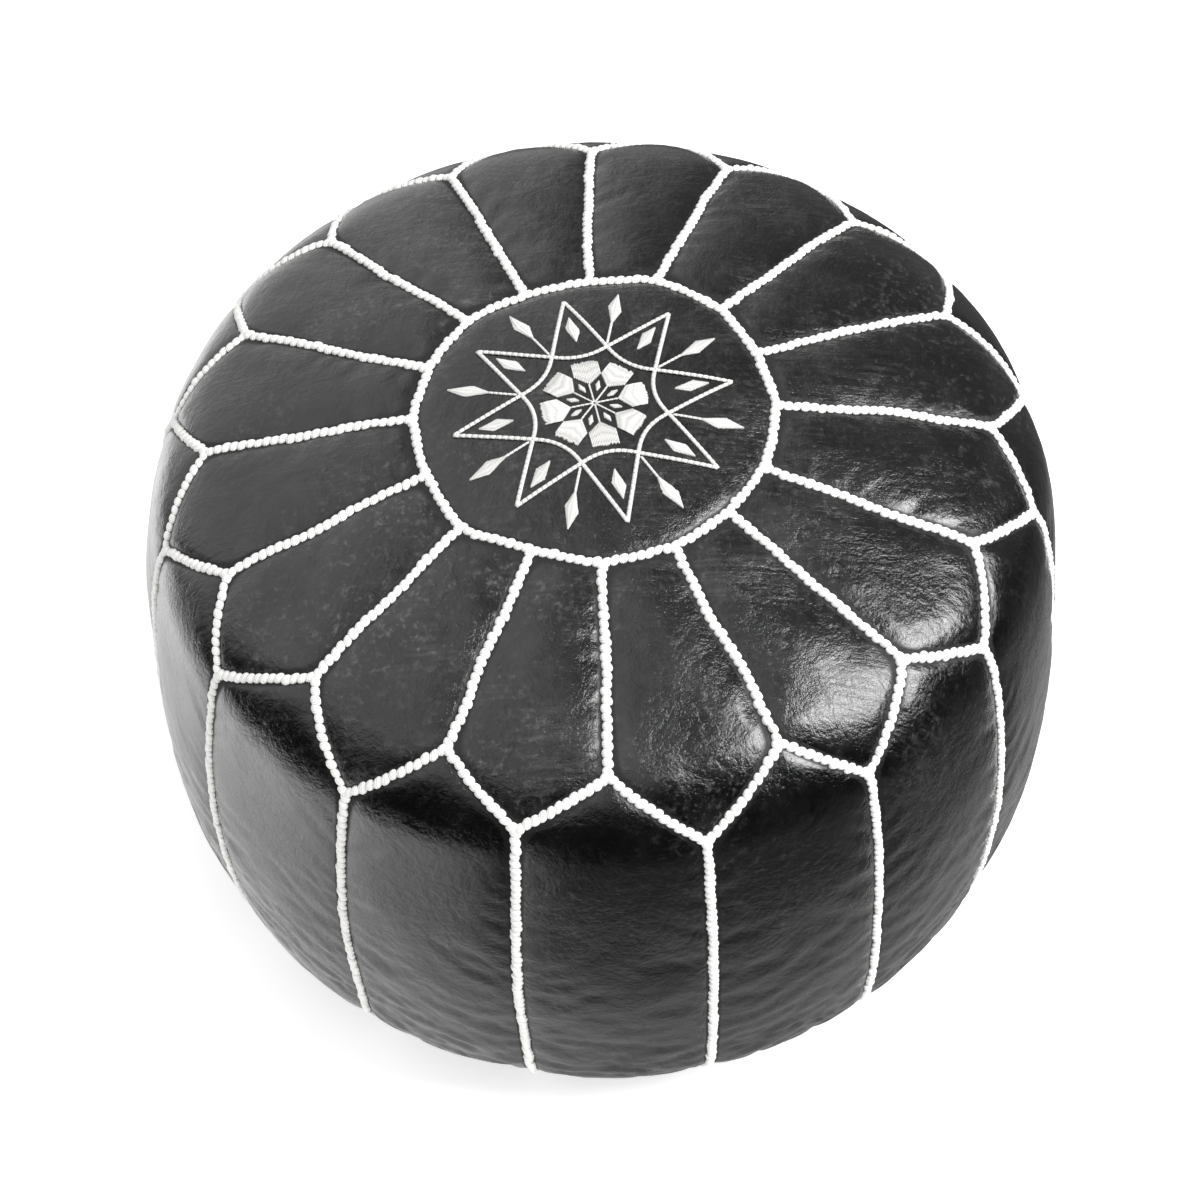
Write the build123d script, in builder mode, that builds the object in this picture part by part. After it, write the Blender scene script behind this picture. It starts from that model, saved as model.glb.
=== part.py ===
"""Round leather pouf: pieced cover, overcast seams, embroidery, filling and base zipper.

The origin is the centre of the footprint on the floor, +Z is up, units are millimetres.
Inset is a distance in from the outside of the leather, and a negative one lies outside it.
"""
import os
from math import cos, hypot, radians, sin, sqrt

from build123d import *

# Filled cover: its meridian is a dome, a shoulder, a flank and a foot, all tangent arcs
overall_radius = 260.0
overall_height = 336.0
dome_arc = 750.0
shoulder_arc = 60.0
flank_arc = 600.0
foot_arc = 70.0
widest_height = 130.0

# Leather pieces
leather_thickness = 1.6
seam_gap = 0.5
medallion_radius = 96.0
panel_count = 16
first_seam_angle = -90.0
shoulder_point_inset = 49.0
petal_tip_inset = 21.0

# Base: a flat ring to stand on, and a shallow dish that lifts the zipper off the floor
base_seam_inset = 16.0
standing_ring_inset = 30.0
dish_depth = 7.5
dish_slope_width = 16.0

# Overcast seam thread
thread_width = 5.5
thread_height = 1.8
thread_floor_gap = 1.0

# Embroidery on the medallion
stitch_height = 0.7
arm_count = 8
first_arm_angle = 11.25
star_tip_radius = 76.0
star_waist_radius = 30.0
star_waist_arc = 20.0
star_line_width = 2.3
leaf_width = 6.5
inner_leaf_centre = 53.0
inner_leaf_length = 18.0
outer_leaf_centre = 68.0
outer_leaf_length = 23.0
stem_start_radius = 42.0
stem_width = 1.5
block_centre = 22.0
block_length = 14.0
block_width = 12.5
rosette_leaf_centre = 11.0
rosette_leaf_length = 6.0
rosette_leaf_width = 2.6
ray_end_radius = 14.0
ray_width = 0.9

# Zipper
slot_half_width = 6.5
slot_end_margin = 10.0
tape_width = 15.0
tape_thickness = 0.6
tape_overhang = 6.0
row_gap = 1.4
tooth_length = 2.4
tooth_thickness = 2.0
tooth_height = 2.6
tooth_pitch = 3.5
tooth_grip = 1.2
stop_length = 3.0
stop_margin = 3.0

# Slider and pull
moving_gap = 0.3
slider_length = 11.0
slider_plate = 1.2
slider_lip = 0.9
post_length = 2.6
bail_width = 1.8
bail_bar = 1.1
bail_opening = 5.0
pull_thickness = 1.1
pull_arm_width = 1.2
pull_arm_length = 9.0
pull_length = 26.0
pull_width = 7.0
pull_hole_radius = 1.5

# Filling
filling_gap = 0.4
filling_rise = 6.0

panel_step = 360 / panel_count
arm_step = 360 / arm_count
outside_margin = 10.0


def meridian(inset):
    """Centre radius, centre height and arc radius of the dome, shoulder, flank and foot."""
    dome_z = overall_height - dome_arc
    flank_r = overall_radius - flank_arc
    to_dome = dome_arc - shoulder_arc
    to_flank = flank_arc - shoulder_arc
    rise = widest_height - dome_z
    span = hypot(flank_r, rise)
    along = (to_dome**2 - to_flank**2 + span**2) / (2 * span)
    across = sqrt(to_dome**2 - along**2)
    shoulder_r = (flank_r * along + rise * across) / span
    shoulder_z = dome_z + (rise * along - flank_r * across) / span
    foot_r = flank_r + sqrt((flank_arc - foot_arc) ** 2 - (widest_height - foot_arc) ** 2)
    return (
        (0.0, dome_z, dome_arc - inset),
        (shoulder_r, shoulder_z, shoulder_arc - inset),
        (flank_r, widest_height, flank_arc - inset),
        (foot_r, foot_arc, foot_arc - inset),
    )


def tangent_point(large, small):
    """Point where the small arc touches the large arc that it is tangent to."""
    scale = large[2] / hypot(small[0] - large[0], small[1] - large[1])
    return large[0] + (small[0] - large[0]) * scale, large[1] + (small[1] - large[1]) * scale


def surface_height(radius):
    """Height of the upper side of the cover at a radius from the axis."""
    dome, shoulder, flank, _ = meridian(0.0)
    arc = flank
    if radius <= tangent_point(flank, shoulder)[0]:
        arc = shoulder
    if radius <= tangent_point(dome, shoulder)[0]:
        arc = dome
    return arc[1] + sqrt(arc[2] ** 2 - (radius - arc[0]) ** 2)


def arc_about(centre, start, end):
    """Arc about a centre, from start to end the short way."""
    middle_r = (start[0] + end[0]) / 2 - centre[0]
    middle_z = (start[1] + end[1]) / 2 - centre[1]
    scale = hypot(start[0] - centre[0], start[1] - centre[1]) / hypot(middle_r, middle_z)
    ThreePointArc(start, (centre[0] + middle_r * scale, centre[1] + middle_z * scale), end)


contact_radius = meridian(0.0)[3][0]
base_seam_radius = contact_radius - base_seam_inset
standing_ring_radius = contact_radius - standing_ring_inset
dish_radius = standing_ring_radius - dish_slope_width
shoulder_point_radius = overall_radius - shoulder_point_inset
petal_tip_radius = overall_radius - petal_tip_inset


def draw_side(inset):
    """Draw the meridian from the axis at the top down to the floor ring."""
    dome, shoulder, flank, foot = meridian(inset)
    top = (0.0, overall_height - inset)
    dome_end = tangent_point(dome, shoulder)
    flank_start = tangent_point(flank, shoulder)
    flank_end = tangent_point(flank, foot)
    arc_about(dome, top, dome_end)
    arc_about(shoulder, dome_end, flank_start)
    arc_about(flank, flank_start, flank_end)
    arc_about(foot, flank_end, (contact_radius, inset))


def draw_underside(start_radius, inset, rise):
    """Draw the base from a radius on the floor ring, up the slope of the dish, to the axis."""
    bend = (dish_slope_width**2 + rise**2) / (4 * rise)
    ring_edge = (standing_ring_radius, inset)
    slope_middle = (standing_ring_radius - dish_slope_width / 2, inset + rise / 2)
    dish_edge = (dish_radius, inset + rise)
    Line((start_radius, inset), ring_edge)
    arc_about((ring_edge[0], inset + bend), ring_edge, slope_middle)
    arc_about((dish_radius, dish_edge[1] - bend), slope_middle, dish_edge)
    Line(dish_edge, (0.0, dish_edge[1]))


def draw_body(inset):
    """Draw the closed section of the whole body, flat underneath."""
    draw_side(inset)
    Line((contact_radius, inset), (0.0, inset))
    Line((0.0, inset), (0.0, overall_height - inset))


def shell_section(inner_inset, outer_inset, low, high):
    """Section of a layer between two insets, cut to the window from corner low to high."""
    width = high[0] - low[0]
    height = high[1] - low[1]
    with BuildSketch() as section:
        with BuildLine():
            draw_body(outer_inset)
        make_face()
        with BuildLine():
            draw_body(inner_inset)
        make_face(mode=Mode.SUBTRACT)
        with Locations((low[0] + width / 2, low[1] + height / 2)):
            Rectangle(width, height, mode=Mode.INTERSECT)
    return section.sketch


def meridian_plane(angle):
    """Upright plane through the axis, with its x axis pointing out at an angle in degrees."""
    turn = radians(angle)
    return Plane((0, 0, 0), x_dir=(cos(turn), sin(turn), 0), z_dir=(sin(turn), -cos(turn), 0))


def chevron_plane(shoulder_angle, tip_angle, shift):
    """Plane square to the cover through a shoulder point and a petal tip, shift mm down it."""
    shoulder = meridian(0.0)[1]
    points = []
    for radius, angle in ((shoulder_point_radius, shoulder_angle), (petal_tip_radius, tip_angle)):
        turn = radians(angle)
        points.append(Vector(radius * cos(turn), radius * sin(turn), surface_height(radius)))
    middle = (points[0] + points[1]) / 2
    centre_turn = radians((shoulder_angle + tip_angle) / 2)
    centre = Vector(shoulder[0] * cos(centre_turn), shoulder[0] * sin(centre_turn), shoulder[1])
    down = (points[1] - points[0]).cross(middle - centre)
    if down.Z > 0:
        down = down * -1
    return Plane(points[0], x_dir=points[1] - points[0], z_dir=down).offset(shift)


def wedge(section, half_angle, side_gap):
    """Turn a section about the axis, half_angle each way from +X, less a gap at each side."""
    with BuildPart() as turned:
        with BuildSketch(meridian_plane(-half_angle)):
            add(section)
        revolve(axis=Axis.Z, revolution_arc=2 * half_angle)
        if side_gap > 0:
            split(bisect_by=meridian_plane(half_angle).offset(side_gap), keep=Keep.TOP)
            split(bisect_by=meridian_plane(-half_angle).offset(-side_gap), keep=Keep.BOTTOM)
    return turned.part


def above_chevrons(solid, shift):
    """Part of a wedge about a petal's middle that lies inside the V of its two outer edges."""
    with BuildPart() as pointed:
        add(solid)
        split(bisect_by=chevron_plane(panel_step / 2, 0.0, shift), keep=Keep.BOTTOM)
        split(bisect_by=chevron_plane(-panel_step / 2, 0.0, shift), keep=Keep.BOTTOM)
    return pointed.part


def below_chevrons(solid, shift):
    """Part of a wedge about a side panel's middle that lies under its two sloping edges."""
    with BuildPart() as housed:
        add(solid)
        split(bisect_by=chevron_plane(0.0, panel_step / 2, shift), keep=Keep.TOP)
        split(bisect_by=chevron_plane(0.0, -panel_step / 2, shift), keep=Keep.TOP)
    return housed.part


def strap(section):
    """Strip of the thread's width along the meridian at +X, cut from a turned section."""
    with BuildPart() as strip:
        with BuildSketch(meridian_plane(-panel_step / 4)):
            add(section)
        revolve(axis=Axis.Z, revolution_arc=panel_step / 2)
        split(bisect_by=Plane.XZ.offset(thread_width / 2), keep=Keep.BOTTOM)
        split(bisect_by=Plane.XZ.offset(-thread_width / 2), keep=Keep.TOP)
    return strip.part


def save(piece, name):
    """Label a finished piece and write it to its own file."""
    piece.part.label = name
    export_step(piece.part, f"parts/{name}.step")


os.makedirs("parts", exist_ok=True)
window_top = overall_height + outside_margin
window_side = overall_radius + outside_margin

# Medallion
with BuildPart() as medallion:
    with BuildSketch(Plane.XZ):
        add(
            shell_section(
                leather_thickness,
                0.0,
                (0.0, widest_height),
                (medallion_radius - seam_gap / 2, window_top),
            )
        )
    revolve(axis=Axis.Z)
save(medallion, "medallion")

# Petals: arc on the medallion, two radial edges, and a V at the outer end
petal_section = shell_section(
    leather_thickness,
    0.0,
    (medallion_radius + seam_gap / 2, widest_height),
    (window_side, window_top),
)
petal_wedge = wedge(petal_section, panel_step / 2, seam_gap / 2)
petal_shape = above_chevrons(petal_wedge, -seam_gap / 2)
for index in range(panel_count):
    with BuildPart() as petal:
        add(petal_shape, rotation=(0, 0, first_seam_angle + (index + 0.5) * panel_step))
    save(petal, f"petal_{index + 1:02d}")

# Side panels: house shaped, turned under the foot to the base seam
side_section = shell_section(
    leather_thickness,
    0.0,
    (base_seam_radius + seam_gap / 2, -outside_margin),
    (window_side, window_top),
)
side_wedge = wedge(side_section, panel_step / 2, seam_gap / 2)
side_shape = below_chevrons(side_wedge, seam_gap / 2)
for index in range(panel_count):
    with BuildPart() as side_panel:
        add(side_shape, rotation=(0, 0, first_seam_angle + index * panel_step))
    save(side_panel, f"side_panel_{index + 1:02d}")

# Base halves: a dished disc with a slot for the zipper
slot_half_length = dish_radius - slot_end_margin
dish_top = dish_depth + leather_thickness
for name, side, kept in (("front", -1, Keep.TOP), ("back", 1, Keep.BOTTOM)):
    with BuildPart() as base_half:
        with BuildSketch(Plane.XZ):
            with BuildLine():
                edge = base_seam_radius - seam_gap / 2
                draw_underside(edge, 0.0, dish_depth)
                draw_underside(edge, leather_thickness, dish_depth)
                Line((edge, 0.0), (edge, leather_thickness))
                Line((0.0, dish_depth), (0.0, dish_top))
            make_face()
        revolve(axis=Axis.Z)
        split(bisect_by=Plane.XZ.offset(-side * seam_gap / 2), keep=kept)
        with BuildSketch(Plane.XY):
            SlotOverall(2 * slot_half_length, 2 * slot_half_width)
        extrude(amount=dish_top + outside_margin, mode=Mode.SUBTRACT)
    save(base_half, f"base_half_{name}")

# Filling
filling_inset = leather_thickness + filling_gap
filling_dish = dish_depth + filling_rise
with BuildPart() as filling:
    with BuildSketch(Plane.XZ):
        with BuildLine():
            draw_side(filling_inset)
            draw_underside(contact_radius, filling_inset, filling_dish)
            Line((0.0, filling_inset + filling_dish), (0.0, overall_height - filling_inset))
        make_face()
    revolve(axis=Axis.Z)
save(filling, "filling")

# Seam thread on the medallion's ring
with BuildPart() as medallion_seam:
    with BuildSketch(Plane.XZ):
        add(
            shell_section(
                0.0,
                -thread_height,
                (medallion_radius - thread_width / 2, widest_height),
                (medallion_radius + thread_width / 2, window_top),
            )
        )
    revolve(axis=Axis.Z)
save(medallion_seam, "medallion_seam")

# Seam thread on the zigzag between petals and side panels, one closed loop
thread_section = shell_section(
    0.0,
    -thread_height,
    (medallion_radius + thread_width / 2, thread_floor_gap),
    (window_side, window_top),
)
thread_wedge = wedge(thread_section, panel_step / 2, 0.0)
thread_house = below_chevrons(thread_wedge, -thread_width / 2)
thread_house_core = below_chevrons(thread_wedge, thread_width / 2)
thread_petal = above_chevrons(thread_wedge, thread_width / 2)
with BuildPart() as peak:
    add(thread_house)
    add(thread_house_core, mode=Mode.SUBTRACT)
with BuildPart() as chevron_seam:
    for index in range(panel_count):
        add(peak.part, rotation=(0, 0, first_seam_angle + index * panel_step))
save(chevron_seam, "chevron_seam")

# Seam thread on the radial seams, from the medallion's ring to the zigzag
with BuildPart() as radial_strap:
    add(strap(thread_section))
    split(bisect_by=Plane.XY.offset(widest_height), keep=Keep.TOP)
    add(thread_house, mode=Mode.SUBTRACT)
with BuildPart() as radial_seams:
    for index in range(panel_count):
        add(radial_strap.part, rotation=(0, 0, first_seam_angle + index * panel_step))
save(radial_seams, "radial_seams")

# Seam thread on the side seams, from the zigzag down to the foot
with BuildPart() as side_strap:
    add(strap(thread_section))
    add(thread_petal, mode=Mode.SUBTRACT)
with BuildPart() as side_seams:
    for index in range(panel_count):
        add(side_strap.part, rotation=(0, 0, first_seam_angle + (index + 0.5) * panel_step))
save(side_seams, "side_seams")

# Embroidery: flat motifs pressed onto the medallion's dome
stitch_floor = surface_height(medallion_radius) - outside_margin
with BuildPart() as stitch_layer:
    with BuildSketch(Plane.XZ):
        add(
            shell_section(
                0.0,
                -stitch_height,
                (0.0, widest_height),
                (medallion_radius - thread_width / 2, window_top),
            )
        )
    revolve(axis=Axis.Z)


def embroider(motif, name):
    """Raise a flat motif through the stitch layer, keep what they share, and save it."""
    with BuildPart() as stitched:
        with BuildSketch(Plane.XY.offset(stitch_floor)):
            add(motif.sketch)
        extrude(amount=window_top - stitch_floor)
        add(stitch_layer.part, mode=Mode.INTERSECT)
    save(stitched, name)


def polar(radius, angle):
    """Point on the plan at a radius and an angle in degrees."""
    return radius * cos(radians(angle)), radius * sin(radians(angle))


def lozenge(length, width):
    """Lozenge with its long diagonal along x."""
    Polygon((length / 2, 0), (0, width / 2), (-length / 2, 0), (0, -width / 2))


# Star: two four pointed outlines with hollow sides, one turned against the other
with BuildSketch() as star:
    for index in range(arm_count):
        with BuildLine():
            tip_angle = first_arm_angle + index * arm_step
            FilletPolyline(
                polar(star_tip_radius, tip_angle),
                polar(star_waist_radius, tip_angle + arm_step),
                polar(star_tip_radius, tip_angle + 2 * arm_step),
                radius=star_waist_arc,
            )
        trace(line_width=star_line_width)
embroider(star, "star_outline")

with BuildSketch() as inner_leaves:
    with PolarLocations(inner_leaf_centre, arm_count, first_arm_angle):
        lozenge(inner_leaf_length, leaf_width)
embroider(inner_leaves, "inner_leaves")

with BuildSketch() as outer_leaves:
    with PolarLocations(outer_leaf_centre, arm_count, first_arm_angle + arm_step / 2):
        lozenge(outer_leaf_length, leaf_width)
    stem_length = outer_leaf_centre - stem_start_radius
    with PolarLocations(
        stem_start_radius + stem_length / 2, arm_count, first_arm_angle + arm_step / 2
    ):
        Rectangle(stem_length, stem_width)
embroider(outer_leaves, "outer_leaves")

# Rosette: blocks around the outside, small leaves between rays in the middle
with BuildSketch() as rosette_blocks:
    with PolarLocations(block_centre, arm_count, first_arm_angle):
        half_length = block_length / 2
        half_width = block_width / 2
        Polygon(
            (half_length, half_width / 2),
            (0, half_width),
            (-half_length, 0),
            (0, -half_width),
            (half_length, -half_width / 2),
        )
embroider(rosette_blocks, "rosette_blocks")

with BuildSketch() as rosette_leaves:
    with PolarLocations(rosette_leaf_centre, arm_count, first_arm_angle + arm_step / 2):
        lozenge(rosette_leaf_length, rosette_leaf_width)
embroider(rosette_leaves, "rosette_leaves")

with BuildSketch() as rosette_rays:
    with PolarLocations(ray_end_radius / 2, arm_count, first_arm_angle):
        Rectangle(ray_end_radius, ray_width)
embroider(rosette_rays, "rosette_rays")

# Zipper: tapes on the inside of the base, teeth gripping their inner edges
chain_half_length = slot_half_length - stop_length - stop_margin
tooth_edge = row_gap / 2
tape_edge = tooth_edge + tooth_length - tooth_grip
tape_length = 2 * (slot_half_length + tape_overhang)
tape_middle = dish_top + tape_thickness / 2
teeth_bottom = tape_middle - tooth_height / 2
teeth_top = tape_middle + tooth_height / 2
tooth_count = int((2 * chain_half_length - tooth_pitch / 2 - tooth_thickness) / tooth_pitch) + 1
tooth_middle = tooth_edge + tooth_length / 2

for name, side in (("front", -1), ("back", 1)):
    with BuildPart() as zipper_tape:
        with BuildSketch(Plane.XY.offset(dish_top)):
            with Locations((0, side * (tape_edge + tape_width / 2))):
                Rectangle(tape_length, tape_width)
        extrude(amount=tape_thickness)
    save(zipper_tape, f"zipper_tape_{name}")

    with BuildPart() as zipper_teeth:
        with BuildSketch(Plane.XY.offset(teeth_bottom)):
            with Locations((side * tooth_pitch / 4, side * tooth_middle)):
                with GridLocations(tooth_pitch, 0, tooth_count, 1):
                    RectangleRounded(tooth_thickness, tooth_length, tooth_thickness / 4)
        extrude(amount=tooth_height)
    save(zipper_teeth, f"zipper_teeth_{name}")

stop_middle = chain_half_length + stop_length / 2
with BuildPart() as zipper_top_stops:
    with BuildSketch(Plane.XY.offset(teeth_bottom)):
        with GridLocations(0, 2 * tooth_middle, 1, 2):
            with Locations((stop_middle, 0)):
                Rectangle(stop_length, tooth_length)
    extrude(amount=tooth_height)
save(zipper_top_stops, "zipper_top_stops")

with BuildPart() as zipper_bottom_stop:
    with BuildSketch(Plane.XY.offset(teeth_bottom)):
        with Locations((-stop_middle, 0)):
            Rectangle(stop_length, 2 * (tooth_edge + tooth_length))
    extrude(amount=tooth_height)
save(zipper_bottom_stop, "zipper_bottom_stop")

# Slider: two plates around the chain, a post between the rows, lips, and a bail below
slider_x = chain_half_length - moving_gap - slider_length / 2
chain_half_width = tooth_edge + tooth_length + moving_gap
slider_half_width = chain_half_width + slider_lip
lower_face = teeth_bottom - moving_gap
upper_face = teeth_top + moving_gap
post_width = row_gap - 2 * moving_gap
hinge_z = lower_face - slider_plate - moving_gap - pull_thickness / 2
bail_floor = hinge_z - pull_thickness / 2 - moving_gap - bail_bar
lower_lip_top = dish_top - moving_gap
upper_lip_bottom = dish_top + tape_thickness + moving_gap
with BuildPart() as zipper_slider:
    for level in (lower_face - slider_plate, upper_face):
        with BuildSketch(Plane.XY.offset(level)):
            with Locations((slider_x, 0)):
                RectangleRounded(slider_length, 2 * slider_half_width, slider_plate)
        extrude(amount=slider_plate)
    for level, height in (
        (lower_face, lower_lip_top - lower_face),
        (upper_lip_bottom, upper_face - upper_lip_bottom),
    ):
        with BuildSketch(Plane.XY.offset(level)):
            with Locations((slider_x, 0)):
                with GridLocations(0, 2 * chain_half_width + slider_lip, 1, 2):
                    Rectangle(slider_length - 2 * slider_plate, slider_lip)
        extrude(amount=height)
    with BuildSketch(Plane.XY.offset(lower_face)):
        with Locations((slider_x + (slider_length - post_length) / 2, 0)):
            Rectangle(post_length, post_width)
    extrude(amount=upper_face - lower_face)
    with BuildSketch(Plane.XZ.offset(-bail_width / 2)):
        bail_top = lower_face - slider_plate
        with Locations((slider_x, (bail_top + bail_floor) / 2)):
            Rectangle(bail_opening + 2 * bail_bar, bail_top - bail_floor)
            with Locations((0, bail_bar / 2)):
                Rectangle(bail_opening, bail_top - bail_floor - bail_bar, mode=Mode.SUBTRACT)
    extrude(amount=bail_width)
save(zipper_slider, "zipper_slider")

# Pull: a crossbar through the bail, two arms beside it, and a plate with a hole
arm_inner = bail_width / 2 + moving_gap
arm_outer = arm_inner + pull_arm_width
with BuildPart() as zipper_pull:
    with BuildSketch(Plane.XY.offset(hinge_z - pull_thickness / 2)):
        with Locations((slider_x - pull_arm_length / 2, 0)):
            with GridLocations(0, arm_inner + arm_outer, 1, 2):
                Rectangle(pull_arm_length, pull_arm_width)
        plate_length = pull_length - pull_arm_length + pull_arm_width
        with Locations((slider_x - pull_length + plate_length / 2, 0)):
            RectangleRounded(plate_length, pull_width, pull_width / 3)
        with Locations((slider_x - pull_length + pull_width / 2, 0)):
            Circle(pull_hole_radius, mode=Mode.SUBTRACT)
    extrude(amount=pull_thickness)
    with BuildSketch(Plane.XZ.offset(-arm_outer)):
        with Locations((slider_x, hinge_z)):
            Circle(pull_thickness / 2)
    extrude(amount=2 * arm_outer)
save(zipper_pull, "zipper_pull")

print(f"slider centre x {slider_x:.3f}, travel {2 * slider_x:.3f}, hinge height {hinge_z:.3f}")
print(f"standing ring {standing_ring_radius:.2f} to {contact_radius:.2f} mm from the axis")
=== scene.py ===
"""Looks of a round leather pouf: stuffed cover, overcast seams, embroidery, base and zipper."""
from math import cos, hypot, pi, radians, sin, sqrt

import bmesh
import bpy
import numpy as np
from mathutils import Matrix, Vector, noise
from mathutils.bvhtree import BVHTree


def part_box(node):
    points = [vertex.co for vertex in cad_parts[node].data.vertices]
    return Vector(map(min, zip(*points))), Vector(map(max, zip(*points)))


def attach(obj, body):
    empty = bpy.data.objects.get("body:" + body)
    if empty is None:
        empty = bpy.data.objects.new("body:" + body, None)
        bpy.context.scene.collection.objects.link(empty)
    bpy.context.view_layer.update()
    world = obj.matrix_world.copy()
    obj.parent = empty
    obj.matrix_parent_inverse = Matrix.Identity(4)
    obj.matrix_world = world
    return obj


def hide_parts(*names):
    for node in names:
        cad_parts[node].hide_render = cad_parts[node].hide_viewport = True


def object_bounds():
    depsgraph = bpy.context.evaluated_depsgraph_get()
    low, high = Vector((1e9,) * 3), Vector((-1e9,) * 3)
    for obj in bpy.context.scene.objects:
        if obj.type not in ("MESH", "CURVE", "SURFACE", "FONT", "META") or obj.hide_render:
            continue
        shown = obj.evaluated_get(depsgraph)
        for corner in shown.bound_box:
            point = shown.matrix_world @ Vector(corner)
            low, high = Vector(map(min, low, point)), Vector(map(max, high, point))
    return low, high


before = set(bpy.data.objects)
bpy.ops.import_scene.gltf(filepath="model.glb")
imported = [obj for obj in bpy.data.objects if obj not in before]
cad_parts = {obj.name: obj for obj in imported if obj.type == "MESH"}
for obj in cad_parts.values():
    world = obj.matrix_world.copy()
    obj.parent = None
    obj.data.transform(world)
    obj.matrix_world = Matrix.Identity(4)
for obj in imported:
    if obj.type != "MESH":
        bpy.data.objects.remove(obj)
CAD_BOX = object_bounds()

bl_info = {
    "name": "Leather pouf",
    "version": (1, 0, 0),
    "blender": (4, 5, 0),
    "location": "View3D > Sidebar > Pouf",
    "description": "Builds the leather, thread, filling and zipper of a round pouf",
    "category": "Object",
}

MM = 0.001
PETAL_NODES = sorted(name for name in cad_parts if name.startswith("petal_"))
PANELS = len(PETAL_NODES)
STEP = 360.0 / PANELS
FIRST_SEAM = -90.0
made = {}


def node_points(name):
    """Corner points of a CAD node, as rows of x, y, z."""
    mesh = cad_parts[name].data
    points = np.empty(len(mesh.vertices) * 3)
    mesh.vertices.foreach_get("co", points)
    return points.reshape(-1, 3)


def box_radius(name):
    """Half the width of a round CAD node."""
    low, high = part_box(name)
    return (high[0] - low[0]) / 2


# Sizes


def length_property(name, description, default):
    """Property that holds a length in metres."""
    return bpy.props.FloatProperty(
        name=name, description=description, default=default, unit="LENGTH"
    )


def colour_property(name, description, default):
    """Property that holds a colour."""
    return bpy.props.FloatVectorProperty(
        name=name, description=description, default=default, size=3, subtype="COLOR"
    )


class PoufSizes(bpy.types.PropertyGroup):
    """Sizes and shape of the stuffed cover and its sewing."""

    dome_arc: length_property("Dome arc", "Radius of the top's curve", 0.75)
    shoulder_arc: length_property("Shoulder arc", "Radius of the shoulder", 0.06)
    flank_arc: length_property("Flank arc", "Radius of the side's curve", 0.6)
    foot_arc: length_property("Foot arc", "Radius of the foot", 0.07)
    widest_height: length_property("Widest height", "Height of the widest ring", 0.13)
    leather: length_property("Leather", "Thickness of the leather", 0.0016)
    seam_sink: length_property("Seam sink", "Depth that a seam pulls in", 0.002)
    crown: length_property("Crown", "Most that a panel may swell", 0.006)
    slack: bpy.props.FloatProperty(
        name="Slack", description="Extra leather in each panel", default=0.005, subtype="FACTOR"
    )
    seam_wander: length_property("Seam wander", "Unevenness of the seams", 0.002)
    tip_wander: length_property("Tip wander", "Unevenness of the petals' tips", 0.004)
    stitch_pitch: length_property("Stitch pitch", "Step of the seam stitches", 0.0046)
    stitch_width: length_property("Stitch width", "Width of the seam stitches", 0.0058)
    stitch_height: length_property("Stitch height", "Height of the seam stitches", 0.0036)


class PoufColours(bpy.types.PropertyGroup):
    """Colours of the leather, thread and trim."""

    leather: colour_property("Leather", "Dyed leather", (0.002, 0.002, 0.0021))
    worn_leather: colour_property("Worn leather", "Rubbed patches", (0.085, 0.084, 0.083))
    thread: colour_property("Thread", "Seam and embroidery thread", (0.9, 0.89, 0.87))
    wadding: colour_property("Wadding", "Cotton filling", (0.72, 0.68, 0.6))
    brass: colour_property("Brass", "Zipper metal", (0.5, 0.38, 0.18))


# Shader maths


class Wire:
    """A socket that carries a number; arithmetic on it adds Math nodes."""

    def __init__(self, finish, socket):
        self.finish = finish
        self.socket = socket

    def math(self, operation, *others):
        return self.finish.node("Math", {"operation": operation}, [self, *others])

    def __add__(self, other):
        return self.math("ADD", other)

    __radd__ = __add__

    def __mul__(self, other):
        return self.math("MULTIPLY", other)

    __rmul__ = __mul__

    def __sub__(self, other):
        return self.math("SUBTRACT", other)

    def __rsub__(self, other):
        return self.finish.node("Math", {"operation": "SUBTRACT"}, [other, self])

    def ramp(self, low, high):
        """Smooth step from 0 at low to 1 at high."""
        settings = {"interpolation_type": "SMOOTHSTEP"}
        return self.finish.node("MapRange", settings, {"Value": self, "From Min": low, "From Max": high})


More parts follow.
